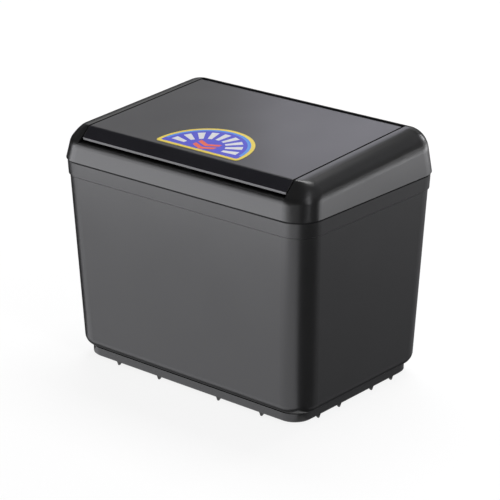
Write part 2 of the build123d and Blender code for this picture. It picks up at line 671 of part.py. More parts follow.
def latch_screws():
    """Two pan-head screws that hold the latch under the ledge."""
    low = FLANGE_LOW_Z - LATCH_HEAD_HEIGHT
    screws = []
    for x in (-LATCH_SCREW_X, LATCH_SCREW_X):
        head = post(x, LATCH_Y, low, FLANGE_LOW_Z, LATCH_HEAD_RADIUS)
        shank = post(x, LATCH_Y, FLANGE_LOW_Z, LATCH_SCREW_TOP_Z, LATCH_SCREW_RADIUS)
        screws.append(head + shank)
    return Compound(children=screws)


def push_label():
    """Thin sticker on the lid behind its fold, a disc cut straight along its front."""
    drop = LABEL_MIDDLE_Y - LABEL_FRONT_Y
    half = sqrt(LABEL_RADIUS**2 - drop**2)
    left, right = (-half, -drop), (half, -drop)
    face = make_face([Line(left, right), ThreePointArc(right, (0, LABEL_RADIUS), left)])
    face = fillet(face.vertices(), LABEL_CORNER)
    sheet = lid_slab(-HALF_DEPTH, HALF_DEPTH, -LABEL_THICKNESS, 0.0, HALF_WIDTH)
    return sheet & Pos(LABEL_X, LABEL_MIDDLE_Y, LIP_LOW_Z) * extrude(face, FAR)


def main():
    """Build every piece and write one file for each."""
    os.makedirs("parts", exist_ok=True)
    spring = coil_and_legs()
    pieces = {
        "bin_body": bin_body(),
        "spike_base": spike_base(),
        "ballast_plate": ballast_plate(),
        "base_screws": base_screws(),
        "top_frame": top_frame(),
        "lid": lid(),
        "lid_strike": lid_strike(),
        "push_label": push_label(),
        "hinge_pin_left": hinge_pin(-1),
        "hinge_pin_right": hinge_pin(1),
        "lid_spring_left": mirror(spring, about=Plane.YZ),
        "lid_spring_right": spring,
        "latch_housing": latch_housing(),
        "latch_plunger": latch_plunger(),
        "latch_spring": latch_spring(),
        "latch_follower": latch_follower(),
        "latch_screws": latch_screws(),
    }
    for name, shape in pieces.items():
        export_step(shape, f"parts/{name}.step")


main()
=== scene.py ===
import json
from math import cos, pi, radians, sin
from typing import NamedTuple

import bmesh
import bpy
import numpy as np
from bpy.props import FloatProperty, FloatVectorProperty, IntProperty, PointerProperty
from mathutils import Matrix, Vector
from mathutils.bvhtree import BVHTree


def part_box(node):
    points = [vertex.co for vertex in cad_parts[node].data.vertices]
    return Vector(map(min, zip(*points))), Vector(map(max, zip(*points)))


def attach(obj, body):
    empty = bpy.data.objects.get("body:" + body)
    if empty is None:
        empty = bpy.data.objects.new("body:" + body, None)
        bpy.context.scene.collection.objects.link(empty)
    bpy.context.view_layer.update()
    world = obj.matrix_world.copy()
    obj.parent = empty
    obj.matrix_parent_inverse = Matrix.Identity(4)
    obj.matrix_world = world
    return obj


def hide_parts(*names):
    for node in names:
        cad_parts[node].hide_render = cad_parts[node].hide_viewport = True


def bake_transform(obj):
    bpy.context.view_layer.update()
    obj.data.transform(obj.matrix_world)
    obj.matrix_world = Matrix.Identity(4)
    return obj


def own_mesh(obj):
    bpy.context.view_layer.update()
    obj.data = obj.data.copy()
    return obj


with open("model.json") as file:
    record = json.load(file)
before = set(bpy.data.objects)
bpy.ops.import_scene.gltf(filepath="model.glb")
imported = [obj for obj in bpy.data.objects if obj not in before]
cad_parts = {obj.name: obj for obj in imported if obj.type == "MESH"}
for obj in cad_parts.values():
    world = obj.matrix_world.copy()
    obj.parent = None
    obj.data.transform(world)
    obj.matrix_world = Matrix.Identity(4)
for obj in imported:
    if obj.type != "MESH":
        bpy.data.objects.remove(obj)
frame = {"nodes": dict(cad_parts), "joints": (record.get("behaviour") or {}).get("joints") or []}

bl_info = {
    "name": "Car Trash Bin Looks",
    "version": (1, 0, 0),
    "blender": (4, 5, 0),
    "location": "View3D > Sidebar > Trash Bin",
    "description": "Moulded finishes, wire springs, printed sticker and studio for a car trash bin",
    "category": "Object",
}

NODES = frame["nodes"]
JOINTS = {joint["name"]: joint for joint in frame["joints"]}
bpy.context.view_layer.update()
MM = 0.001
WHITE = (1.0, 1.0, 1.0)

# The part of a noise's values that moves the sheen, and the part that moves the tone
SHEEN_SPAN = (0.25, 0.75)
TONE_SPAN = (0.3, 0.7)

# Moulded plastic
CLOUD_DETAIL = 1.0
CLOUD_TONE = 0.08
GRAIN_DETAIL = 2.0
# Painted shade: matt black that stands for the shadow in the seam under the top frame and in the gaps
# beside the lid
GAP_SHADE_COLOUR = (0.001, 0.001, 0.001, 1.0)
GAP_SHADE_ROUGHNESS = 1.0

# Printed film
INK_SIZE = 2.5 * MM
INK_DETAIL = 4.0
INK_TONE = 0.05
INK_ROUGHNESS = 0.36
INK_SHEEN = 0.05
FILM_GRAIN = 0.5 * MM
FILM_GRAIN_DETAIL = 2.0
FILM_GRAIN_DEPTH = 0.002 * MM

# Metal, and the ways in which its fine lines stretch
METAL_LINE = 0.4 * MM
METAL_DETAIL = 3.0
METAL_TONE = 0.12
METAL_SHEEN = 0.08
METAL_DEPTH = 0.004 * MM
DRAWN_ALONG_X = (0.2, 1.0, 1.0)
DRAWN_ALONG_Z = (1.0, 1.0, 0.2)
ROLLED_ALONG_X = (0.1, 1.0, 1.0)
NO_STRETCH = (1.0, 1.0, 1.0)

# Sticker
RIM_ENDS = (radians(4), radians(176))
RAY_TURNS = range(10, 171, 20)
CHEVRON_TOPS = (18.5 * MM, 12.2 * MM)
PROBE_HEIGHT = 10.0 * MM
DISC_STEPS = 64
CORNER_STEPS = 9
RING_STEPS = 56

# Springs: steps in a turn, and a direction that no wire starts along
COIL_STEPS = 24
SKEW = (0.3, 0.5, 0.8)

# Floor and backdrop
FLOOR_REACH = 8.0
FLOOR_ROUGHNESS = 0.9
FLOOR_MOTTLE = 0.4
FLOOR_DETAIL = 2.0
FLOOR_TONE = 0.01
SHADOW_GAIN = 1.4
WALL_RADIUS = 4.5
WALL_LOW = 1.1
WALL_HIGH = 3.2
WALL_NARROWING = 6
WALL_STEPS = 48


class CardEdge(NamedTuple):
    """Inner end of the edge between two floor cards, and the edge's turn from the front in degrees."""

    x: float
    y: float
    turn: float


class PanelPlace(NamedTuple):
    """Where a soft panel stands, the point that it faces, and its size."""

    place: tuple
    faces: tuple
    width: float
    height: float


# Cards that lie round the bin and show only in reflections. A ramp gives the places between which a card
# changes its brightness, and a fade gives heights with the share of the brightness that is left there.
CARD_LIFT = 1.5 * MM
CARD_STEPS = 24
FRONT_LEFT = CardEdge(-0.112, -0.071, -75.0)
FRONT_RIGHT = CardEdge(0.112, -0.071, 37.0)
RIGHT_FRONT = CardEdge(0.116, -0.062, 124.0)
BACK_LEFT = CardEdge(-0.03, 0.076, 183.0)
FULL_TURN = 360.0
QUARTER_TURN = 90.0
BOUNCE_REACH = 1.35
BOUNCE_RISES = (0.24, 0.88)
BOUNCE_PEAK = -42.0
BOUNCE_SPREAD = 26.0
BOUNCE_RAMP = (-0.42, -0.48)
BOUNCE_SIDE = (0.0, 0.1)
BOUNCE_FADE = ((0.0, 1.0), (0.08, 0.58), (0.54, 0.54), (0.88, 0.1))
RIGHT_REACH = 3.0
RIGHT_RISES = (0.9, 0.9)
GREY_REACH = 0.85
GREY_RISES = (0.01, 0.01)
GREY_RAMP = (0.12, 0.36)
LEFT_REACH = 3.0
LEFT_RISES = (1.05, 1.05)
# Shelf at the bin's foot: painted shade, a dim sheet that stands for the floor in shadow next to the
# foot
SHELF_HALF_X = (0.109, 0.1144)
SHELF_HALF_Y = (0.071, 0.0764)
SHELF_HEIGHT = 9.5 * MM
SHELF_RAMP = (0.1, 0.112)

# Panels
FILL_PANEL = PanelPlace((0.63123, 0.78759, 0.085), (0.1, 0.0, 0.085), 1.0, 0.17)
LID_PANEL = PanelPlace((-0.375, 0.62, 0.58), (0.1, 0.0, 0.193), 0.26, 0.32)
EDGE_PANEL = PanelPlace((1.13861, -0.33562, 0.92565), (0.11, -0.06, 0.18), 0.24, 1.3)
SIDE_PANEL = PanelPlace((1.53305, 1.70785, 2.19739), (0.0, 0.0, 0.1), 3.4, 2.0)
REAR_PANEL = PanelPlace((0.26145, 1.50095, 0.57823), (0.11, 0.06, 0.19), 0.25, 0.35)
TOP_PANEL = PanelPlace((-0.5, 0.9, 2.3), (-0.5, 0.9, 0.0), 1.8, 1.0)


def colour(name, description, default):
    """Colour property in scene-linear values."""
    return FloatVectorProperty(
        name=name, description=description, subtype="COLOR", size=3, min=0.0, max=1.0, default=default
    )


def length(name, description, default):
    """Length property in metres."""
    return FloatProperty(
        name=name, description=description, unit="LENGTH", min=0.0, precision=5, default=default
    )


def factor(name, description, default):
    """Share from nothing to all."""
    return FloatProperty(
        name=name, description=description, subtype="FACTOR", min=0.0, max=1.0, default=default
    )


def angle(name, description, degrees):
    """Angle property, written here in degrees."""
    return FloatProperty(name=name, description=description, subtype="ANGLE", default=radians(degrees))


def radiance(name, description, default):
    """Brightness of a lamp or card, where 1 is white."""
    return FloatProperty(name=name, description=description, min=0.0, default=default)


class MouldedFinish(bpy.types.PropertyGroup):
    """Satin black mouldings, and the latch's mouldings."""

    bin_colour: colour("Bin", "Bucket and base", (0.011, 0.011, 0.0112))
    frame_colour: colour("Frame", "Top frame", (0.011, 0.011, 0.0112))
    lid_colour: colour("Lid", "Lid", (0.0115, 0.011, 0.016))
    latch_colour: colour("Latch", "Latch housing and strike", (0.05, 0.05, 0.052))
    plunger_colour: colour("Plunger", "Latch plunger", (0.55, 0.54, 0.5))
    bin_roughness: factor("Bin roughness", "Sheen of the bucket and base", 0.34)
    frame_roughness: factor("Frame roughness", "Sheen of the top frame", 0.3)
    lid_roughness: factor("Lid roughness", "Sheen of the lid", 0.3)
    latch_roughness: factor("Latch roughness", "Sheen of the latch housing and strike", 0.4)
    plunger_roughness: factor("Plunger roughness", "Sheen of the latch plunger", 0.3)
    roughness_spread: factor("Roughness spread", "How far the sheen varies over a moulding", 0.02)
    grain_size: length("Grain size", "Pitch of the fine grain", 1.4 * MM)
    grain_depth: length("Grain depth", "Depth of the fine grain", 0.0015 * MM)
    # Painted shade: the bucket's matt black top band stands for the shadow in the seam under the top
    # frame
    seam_shade_height: length("Parting line", "Height of the matt line at the bucket's top edge", 1.5 * MM)
    # Painted shade: the lid's matt black side edges stand for the shadow in the gaps beside the frame
    lid_gap_shade: length("Lid edge line", "Width of the matt line along the sides of the lid", 0.6 * MM)
    cloud_size: length("Cloud size", "Width of the faint patches in the moulding", 45.0 * MM)


class StickerPrint(bpy.types.PropertyGroup):
    """Printed film on the lid."""

    border_colour: colour("Border", "Edge of the film", (0.98, 0.74, 0.06))
    field_colour: colour("Field", "Middle of the film", (0.045, 0.05, 0.7))
    rim_colour: colour("Rim", "Light ring inside the border", (0.06, 0.3, 0.9))
    ray_colour: colour("Rays", "Fan of pale bars", (0.85, 0.85, 0.86))
    chevron_colour: colour("Chevrons", "Marks that point to the lip", (0.93, 0.12, 0.03))
    middle: length("Middle", "From the straight front edge to the middle of the disc", 6.0 * MM)
    corner: length("Corner", "Round at the ends of the straight edge", 1.5 * MM)
    border: length("Border", "Width of the border", 3.0 * MM)
    rim: length("Rim", "Width of the light ring", 2.6 * MM)
    layer: length("Layer", "Thickness of each printed layer", 0.03 * MM)
    ray_start: length("Ray start", "From the middle of the disc to the inner end of a ray", 18.0 * MM)
    ray_end: length("Ray end", "From the middle of the disc to the outer end of a ray", 31.0 * MM)
    ray_narrow: length("Ray inner width", "Width of a ray at its inner end", 3.2 * MM)
    ray_wide: length("Ray outer width", "Width of a ray at its outer end", 6.0 * MM)
    chevron_reach: length("Chevron reach", "From the middle of a chevron to its tip", 10.0 * MM)
    chevron_drop: length("Chevron drop", "Fall of a chevron from its tips to its point", 4.5 * MM)
    chevron_weight: length("Chevron weight", "Thickness of a chevron", 4.0 * MM)


class MetalFinish(bpy.types.PropertyGroup):
    """Wire springs, pins, screws and the ballast plate."""

    wire_colour: colour("Wire", "Spring wire and pins", (0.5, 0.5, 0.51))
    zinc_colour: colour("Zinc", "Screws and ballast plate", (0.45, 0.46, 0.47))
    wire_roughness: factor("Wire roughness", "Sheen of the wire", 0.28)
    zinc_roughness: factor("Zinc roughness", "Sheen of the plated steel", 0.4)
    leg_fall: length("Leg fall", "Fall of a lid spring's long leg along its length", 1.04 * MM)
    lid_turns: FloatProperty(
        name="Lid spring turns", description="Turns of each lid spring", default=3.25
    )
    latch_turns: FloatProperty(
        name="Latch spring turns", description="Turns of the latch spring", default=4.0
    )
    lid_wire: length("Lid wire", "Wire radius of the lid springs", 0.35 * MM)
    latch_wire: length("Latch wire", "Wire radius of the latch spring", 0.25 * MM)
    wire_sides: IntProperty(name="Wire sides", description="Sides of the round wire", default=12)


class StudioSetup(bpy.types.PropertyGroup):
    """Camera, lamps, floor and backdrop."""

    azimuth: angle("Camera azimuth", "Turn of the camera from the bin's front to its right", 40.14)
    elevation: angle("Camera elevation", "Height of the camera above the horizon", 20.63)
    distance: length("Camera distance", "From the target to the camera", 1.624)
    target: FloatVectorProperty(
        name="Target", description="Point that the camera looks at", subtype="XYZ", unit="LENGTH",
        default=(1.58 * MM, 1.33 * MM, 93.0 * MM),
    )
    lens: FloatProperty(
        name="Lens", description="Focal length on a 36 mm sensor", unit="CAMERA", default=152.9
    )
    floor_colour: colour("Floor", "Floor and backdrop", (0.8, 0.8, 0.8))
    floor_glow: factor("Floor glow", "Share of white that the floor shows without light", 0.88)
    backdrop_glow: factor("Backdrop glow", "Share of white that the backdrop shows without light", 0.76)
    bounce_near: radiance("Near bounce", "Card on the floor at the front left, at the bin", 1.8)
    bounce_far: radiance("Far bounce", "Card on the floor at the front left, far from the bin", 6.95)
    fill: radiance("Fill", "Standing panel at the back right", 3.4)
    lid_light: radiance("Lid light", "Panel that the lid mirrors", 0.9348)
    edge_light: radiance("Edge light", "Narrow panel that the front right corner mirrors", 4.0)
    grey_near: radiance("Near grey", "Card on the floor at the back right, at the bin", 0.33)
    grey_far: radiance("Far grey", "Card on the floor at the back right, far from the bin", 0.5)
    right_card: radiance("Right card", "Dark card on the floor at the right", 0.15)
    left_card: radiance("Left card", "Dark card on the floor at the left", 0.03)
    # Painted shade: the shelf's dim glow stands for the shadowed floor next to the bin's foot
    foot_shade_front: radiance("Front shelf", "Narrow shelf under the bin's front edge", 0.2)
    foot_shade_side: radiance("Side shelf", "Narrow shelf under the bin's right edge", 0.06)
    side_light: radiance("Side light", "Wide dim panel above the back right", 0.3)
    rear_light: radiance("Rear light", "Small panel that the rear right corner mirrors", 7.5)
    top: radiance("Top", "Soft panel overhead", 7.2)
    room: radiance("Room", "Dim room above the panels", 0.1)
    tint: colour("Tint", "Slightly cool colour of the cards and of most panels", (0.965, 0.965, 1.0))
    lid_tint: colour("Lid tint", "Cool colour of the lid's panel", (0.85088, 0.83333, 1.0))


def new_material(name):
    """Material with its node tree and main shader."""
    material = bpy.data.materials.new(name)
    material.use_nodes = True
    tree = material.node_tree
    return material, tree, tree.nodes["Principled BSDF"]


def object_noise(tree, size, detail, stretch=NO_STRETCH):
    """Noise fixed to the piece, with features of one size."""
    place = tree.nodes.new("ShaderNodeTexCoord")
    mapping = tree.nodes.new("ShaderNodeMapping")
    mapping.inputs["Scale"].default_value = stretch
    noise = tree.nodes.new("ShaderNodeTexNoise")
    noise.inputs["Scale"].default_value = 1.0 / size
    noise.inputs["Detail"].default_value = detail
    tree.links.new(place.outputs["Object"], mapping.inputs["Vector"])
    tree.links.new(mapping.outputs["Vector"], noise.inputs["Vector"])
    return noise.outputs["Fac"]


def value_ramp(tree, source, span, values):
    """Turns a value inside a span into one between two others."""
    ramp = tree.nodes.new("ShaderNodeMapRange")
    ramp.inputs["From Min"].default_value, ramp.inputs["From Max"].default_value = span
    ramp.inputs["To Min"].default_value, ramp.inputs["To Max"].default_value = values
    tree.links.new(source, ramp.inputs["Value"])
    return ramp


def spread_value(tree, source, socket, middle, spread):
    """Lets a noise move a socket's value around its middle."""
    ramp = value_ramp(tree, source, SHEEN_SPAN, (middle - spread, middle + spread))
    tree.links.new(ramp.outputs["Result"], socket)


def spread_colour(tree, source, socket, tone, spread):
    """Lets a noise shade a colour lighter and darker."""
    ramp = tree.nodes.new("ShaderNodeValToRGB")
    dark, light = ramp.color_ramp.elements
    dark.position, light.position = TONE_SPAN
    dark.color = [(1.0 - spread) * c for c in tone] + [1.0]
    light.color = [min(1.0, (1.0 + spread) * c) for c in tone] + [1.0]
    tree.links.new(source, ramp.inputs["Fac"])
    tree.links.new(ramp.outputs["Color"], socket)


def add_bump(tree, shader, height, depth):
    """Turns a height into a bump of the given depth."""
    bump = tree.nodes.new("ShaderNodeBump")
    bump.inputs["Distance"].default_value = depth
    tree.links.new(height, bump.inputs["Height"])
    tree.links.new(bump.outputs["Normal"], shader.inputs["Normal"])


def moulded_plastic(name, tone, roughness):
    """Moulded plastic with fine grain, a faint cloudiness and an uneven sheen."""
    look = bpy.context.scene.bin_moulded
    material, tree, shader = new_material(name)
    cloud = object_noise(tree, look.cloud_size, CLOUD_DETAIL)
    spread_colour(tree, cloud, shader.inputs["Base Color"], tone, CLOUD_TONE)
    spread_value(tree, cloud, shader.inputs["Roughness"], roughness, look.roughness_spread)
    add_bump(tree, shader, object_noise(tree, look.grain_size, GRAIN_DETAIL), look.grain_depth)
    return material


def painted_gap_shade(material, axis, start):
    """Painted shade: dull dark line, standing for the shadow in a seam or gap, along the edges of a
    moulding that lie past a distance along one axis.
    """
    tree = material.node_tree
    shader = tree.nodes["Principled BSDF"]
    place = tree.nodes.new("ShaderNodeTexCoord")
    split = tree.nodes.new("ShaderNodeSeparateXYZ")
    distance = tree.nodes.new("ShaderNodeMath")
    distance.operation = "ABSOLUTE"
    line = tree.nodes.new("ShaderNodeMath")
    line.operation = "GREATER_THAN"
    line.inputs[1].default_value = start
    tree.links.new(place.outputs["Object"], split.inputs["Vector"])
    tree.links.new(split.outputs[axis], distance.inputs[0])
    tree.links.new(distance.outputs["Value"], line.inputs[0])
    # Past the mask's edge the moulding gets painted shade: near-black colour and full roughness
    dulled = (("Base Color", "RGBA", GAP_SHADE_COLOUR), ("Roughness", "FLOAT", GAP_SHADE_ROUGHNESS))
    for name, kind, dull in dulled:
        socket = shader.inputs[name]
        usual = socket.links[0].from_socket
        mix = tree.nodes.new("ShaderNodeMix")
        mix.data_type = kind
        factor_in, usual_in, dull_in = (s for s in mix.inputs if s.enabled)
        dull_in.default_value = dull
        tree.links.new(line.outputs["Value"], factor_in)
        tree.links.new(usual, usual_in)
        tree.links.new(next(s for s in mix.outputs if s.enabled), socket)


def printed_film(name, tone):
    """Printed film: slightly mottled ink under a satin coat."""
    material, tree, shader = new_material(name)
    mottle = object_noise(tree, INK_SIZE, INK_DETAIL)
    spread_colour(tree, mottle, shader.inputs["Base Color"], tone, INK_TONE)
    spread_value(tree, mottle, shader.inputs["Roughness"], INK_ROUGHNESS, INK_SHEEN)
    add_bump(tree, shader, object_noise(tree, FILM_GRAIN, FILM_GRAIN_DETAIL), FILM_GRAIN_DEPTH)
    return material


def plated_metal(name, tone, roughness, stretch):
    """Metal with fine drawn or rolled lines along one way."""
    material, tree, shader = new_material(name)
    shader.inputs["Metallic"].default_value = 1.0
    lines = object_noise(tree, METAL_LINE, METAL_DETAIL, stretch)
    spread_colour(tree, lines, shader.inputs["Base Color"], tone, METAL_TONE)
    spread_value(tree, lines, shader.inputs["Roughness"], roughness, METAL_SHEEN)
    add_bump(tree, shader, lines, METAL_DEPTH)
    return material


def finish_node(node, material):
    """Gives a CAD node its material."""
    NODES[node].material_slots[0].material = material


def mesh_piece(name, vertices, faces, material, smooth):
    """New object from vertices and faces, linked to the scene."""
    mesh = bpy.data.meshes.new(name)
    mesh.from_pydata([tuple(v) for v in vertices], [], faces)
    mesh.validate()
    mesh.polygons.foreach_set("use_smooth", [smooth] * len(mesh.polygons))
    mesh.materials.append(material)
    obj = bpy.data.objects.new(name, mesh)
    bpy.context.scene.collection.objects.link(obj)
    return obj


def wire_piece(name, points, radius, sides, material):
    """Round wire with closed ends along a line of points."""
    points = np.asarray(points, float)
    tangents = np.gradient(points, axis=0)
    tangents /= np.linalg.norm(tangents, axis=1)[:, None]
    across = np.cross(tangents[0], SKEW)
    across /= np.linalg.norm(across)
    turns = 2 * pi * np.arange(sides) / sides
    vertices = []
    for point, tangent in zip(points, tangents):
        across = across - (across @ tangent) * tangent
        across /= np.linalg.norm(across)
        other = np.cross(tangent, across)
        vertices.extend(point + radius * (cos(t) * across + sin(t) * other) for t in turns)
    faces = []
    for ring in range(len(points) - 1):
        for side in range(sides):
            low, high = ring * sides + side, ring * sides + (side + 1) % sides
            faces.append((low, high, high + sides, low + sides))
    faces.append(tuple(reversed(range(sides))))
    faces.append(tuple(range((len(points) - 1) * sides, len(points) * sides)))
    return mesh_piece(name, vertices, faces, material, True)


def coil_turns(turns):
    """Angles along a coil, each with its share of the coil's length."""
    angles = np.linspace(0, 2 * pi * turns, int(COIL_STEPS * turns) + 1)
    return list(zip(angles, angles / angles[-1]))


class BIN_OT_body(bpy.types.Operator):
    """Finish the bucket and its spiked base."""

    bl_idname = "trash_bin.body"
    bl_label = "Bucket and base"

    def execute(self, context):
        look = context.scene.bin_moulded
        bucket = moulded_plastic("satin_bucket", look.bin_colour, look.bin_roughness)
        # Painted shade: the top band of the bucket is made matt black as the shadow in the seam under
        # the top frame
        painted_gap_shade(bucket, "Z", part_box("bin_body")[1].z - look.seam_shade_height)
        finish_node("bin_body", bucket)
        finish_node("spike_base", moulded_plastic("satin_base", look.bin_colour, look.bin_roughness))
        return {"FINISHED"}


class BIN_OT_top(bpy.types.Operator):
    """Finish the top frame and the lid."""

    bl_idname = "trash_bin.top"
    bl_label = "Frame and lid"

    def execute(self, context):
        look = context.scene.bin_moulded
        finish_node("top_frame", moulded_plastic("satin_frame", look.frame_colour, look.frame_roughness))
        lid = moulded_plastic("satin_lid", look.lid_colour, look.lid_roughness)
        # Painted shade: the lid's side edges are made matt black as the shadow in the gaps beside the
        # frame
        painted_gap_shade(lid, "X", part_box("lid")[1].x - look.lid_gap_shade)
        finish_node("lid", lid)
        return {"FINISHED"}


def arc(radius, middle, turns):
    """Points on a circle round the middle of the disc."""
    return [(radius * cos(a), middle + radius * sin(a)) for a in turns]


def cut_disc(radius, middle, base, corner):
    """Disc cut straight along its base, with rounded ends, as a closed line of points."""
    rise = base + corner
    reach = ((radius - corner) ** 2 - (rise - middle) ** 2) ** 0.5
    start = np.arctan2(rise - middle, reach)
    ends = np.linspace(-pi / 2, start, CORNER_STEPS)
    side = [(reach + u, v) for u, v in arc(corner, rise, ends)]
    top = arc(radius, middle, np.linspace(start, pi - start, DISC_STEPS))
    return side + top[1:-1] + [(-u, v) for u, v in reversed(side)]


def ring_band(inner, outer, middle, ends):
    """Part of a ring, as a closed line of points."""
    turns = np.linspace(*ends, RING_STEPS)
    return arc(outer, middle, turns) + arc(inner, middle, reversed(turns))


def ray(turn, look):
    """Bar that widens outwards from the middle of the disc, as a closed line of points."""
    along, across = np.array((cos(turn), sin(turn))), np.array((-sin(turn), cos(turn)))
    narrow, wide = look.ray_narrow / 2, look.ray_wide / 2
    ends = (
        (look.ray_start, -narrow), (look.ray_end, -wide), (look.ray_end, wide), (look.ray_start, narrow)
    )
    return [tuple(r * along + w * across + (0.0, look.middle)) for r, w in ends]


def chevron(top, look):
    """V shape that points to the lip, as a closed line of points."""
    reach, point, low = look.chevron_reach, top - look.chevron_drop, top - look.chevron_weight
    upper = [(-reach, top), (0.0, point), (reach, top)]
    return upper + [(reach, low), (0.0, point - look.chevron_weight), (-reach, low)]


def print_layer(name, outlines, lift, tone):
    """Thin printed shapes that lie on the sticker's film."""
    thickness = bpy.context.scene.bin_sticker.layer
    low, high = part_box("push_label")
    surface = BVHTree.FromObject(NODES["push_label"], bpy.context.evaluated_depsgraph_get())
    middle = (low.x + high.x) / 2
    build = bmesh.new()
    for outline in outlines:
        corners = []
        for u, v in outline:
            above = Vector((middle + u, low.y + v, high.z + PROBE_HEIGHT))
            hit = surface.ray_cast(above, Vector((0, 0, -1)))[0]
            if hit is None:
                raise RuntimeError(f"{name} reaches past the film")
            corners.append(build.verts.new(hit + Vector((0, 0, lift))))
        face = build.faces.new(corners)
        face.normal_update()
        if face.normal.z < 0:
            face.normal_flip()
    made = bmesh.ops.extrude_face_region(build, geom=build.faces[:])
    raised = [item for item in made["geom"] if isinstance(item, bmesh.types.BMVert)]
    bmesh.ops.translate(build, verts=raised, vec=(0, 0, thickness))
    bmesh.ops.triangulate(build, faces=[f for f in build.faces if len(f.verts) > 4])
    bmesh.ops.recalc_face_normals(build, faces=build.faces[:])
    mesh = bpy.data.meshes.new(name)
    build.to_mesh(mesh)
    build.free()
    mesh.materials.append(printed_film(name.replace("sticker", "film"), tone))
    obj = bpy.data.objects.new(name, mesh)
    bpy.context.scene.collection.objects.link(obj)
    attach(obj, "lid")


class BIN_OT_sticker(bpy.types.Operator):
    """Print the sticker: border, field, light rim, a fan of rays and chevrons that point to the lip."""

    bl_idname = "trash_bin.sticker"
    bl_label = "Sticker"

    def execute(self, context):
        look = context.scene.bin_sticker
        low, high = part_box("push_label")
        radius = (high.x - low.x) / 2 - look.border
        over = look.layer / 2
        finish_node("push_label", printed_film("film_border", look.border_colour))
        field = cut_disc(radius, look.middle, look.border, look.corner)
        print_layer("sticker_field", [field], 0.0, look.field_colour)
        rim = ring_band(radius - look.rim, radius, look.middle, RIM_ENDS)
        print_layer("sticker_rim", [rim], over, look.rim_colour)
        rays = [ray(radians(turn), look) for turn in RAY_TURNS]
        print_layer("sticker_rays", rays, over, look.ray_colour)
        marks = [chevron(top, look) for top in CHEVRON_TOPS]
        print_layer("sticker_chevrons", marks, over, look.chevron_colour)
        return {"FINISHED"}


class BIN_OT_hinge(bpy.types.Operator):
    """Finish the hinge pins and wind the two lid springs."""

    bl_idname = "trash_bin.hinge"
    bl_label = "Hinge pins and springs"

    def execute(self, context):
        look = context.scene.bin_metal
        wire = plated_metal("spring_wire", look.wire_colour, look.wire_roughness, DRAWN_ALONG_X)
        axis = Vector(JOINTS["lid_hinge"]["pos_m"])
        for side, name in ((-1, "left"), (1, "right")):
            finish_node(f"hinge_pin_{name}", wire)
            low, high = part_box(f"lid_spring_{name}")
            near, far = sorted((abs(low.x), abs(high.x)))
            near, far = near + look.lid_wire, far - look.lid_wire
            radius = high.z - axis.z - look.lid_wire
            coil = []
            for turn, share in coil_turns(look.lid_turns):
                x = side * (near + (far - near) * share)
                coil.append((x, axis.y + radius * sin(turn), axis.z + radius * cos(turn)))
            leg = (side * near, low.y, axis.z + radius - look.leg_fall)
            foot = (side * far, axis.y + radius, low.z)
            points = [leg, *coil, foot]
            spring = wire_piece(f"wire_spring_{name}", points, look.lid_wire, look.wire_sides, wire)
            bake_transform(spring)
            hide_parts(f"lid_spring_{name}")
        return {"FINISHED"}


class BIN_OT_latch(bpy.types.Operator):
    """Finish the push latch and wind its spring."""

    bl_idname = "trash_bin.latch"
    bl_label = "Push latch"

    def execute(self, context):
        plastic, metal = context.scene.bin_moulded, context.scene.bin_metal
        housing = moulded_plastic("latch_moulding", plastic.latch_colour, plastic.latch_roughness)
        plunger = moulded_plastic("plunger_moulding", plastic.plunger_colour, plastic.plunger_roughness)
        wire = plated_metal("latch_wire", metal.wire_colour, metal.wire_roughness, DRAWN_ALONG_Z)
        zinc = plated_metal("latch_screw_zinc", metal.zinc_colour, metal.zinc_roughness, NO_STRETCH)
        finish_node("latch_housing", housing)
        finish_node("lid_strike", housing)
        finish_node("latch_plunger", plunger)
        finish_node("latch_follower", wire)
        finish_node("latch_screws", zinc)
        low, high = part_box("latch_spring")
        middle = (low + high) / 2
        radius = (high.x - low.x) / 2 - metal.latch_wire
        bottom, top = low.z + metal.latch_wire, high.z - metal.latch_wire
        coil = []
        for turn, share in coil_turns(metal.latch_turns):
            z = bottom + (top - bottom) * share
            coil.append((middle.x + radius * cos(turn), middle.y + radius * sin(turn), z))
        spring = wire_piece("wire_spring_latch", coil, metal.latch_wire, metal.wire_sides, wire)
        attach(spring, "bin")
        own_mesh(spring)
        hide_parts("latch_spring")
        return {"FINISHED"}


class BIN_OT_ballast(bpy.types.Operator):
    """Finish the ballast plate and the base's screws."""

    bl_idname = "trash_bin.ballast"
    bl_label = "Ballast and screws"

    def execute(self, context):
        look = context.scene.bin_metal
        plate = plated_metal("ballast_zinc", look.zinc_colour, look.zinc_roughness, ROLLED_ALONG_X)
        screw = plated_metal("base_screw_zinc", look.zinc_colour, look.zinc_roughness, NO_STRETCH)
        finish_node("ballast_plate", plate)
        finish_node("base_screws", screw)
        return {"FINISHED"}


def around(azimuth, elevation, distance, centre):
    """Point at a turn from the bin's front to its right, a height above the horizon and a distance."""
    flat = distance * cos(elevation)
    step = Vector((flat * sin(azimuth), -flat * cos(azimuth), distance * sin(elevation)))
    return Vector(centre) + step


def aim(obj, target):
    """Points a lamp or camera at a target."""
    obj.rotation_mode = "QUATERNION"
    obj.rotation_quaternion = (Vector(target) - obj.location).to_track_quat("-Z", "Y")


def panel_lamp(name, panel, brightness, tint):
    """Soft panel whose face shows a brightness, where 1 is white."""
    lamp = bpy.data.lights.new(name, "AREA")
    lamp.shape = "RECTANGLE"
    lamp.size, lamp.size_y = panel.width, panel.height
    lamp.energy = brightness * pi * panel.width * panel.height
    lamp.color = tint
    obj = bpy.data.objects.new(name, lamp)
    bpy.context.scene.collection.objects.link(obj)
    obj.location = panel.place
    aim(obj, panel.faces)
    obj.visible_camera = False


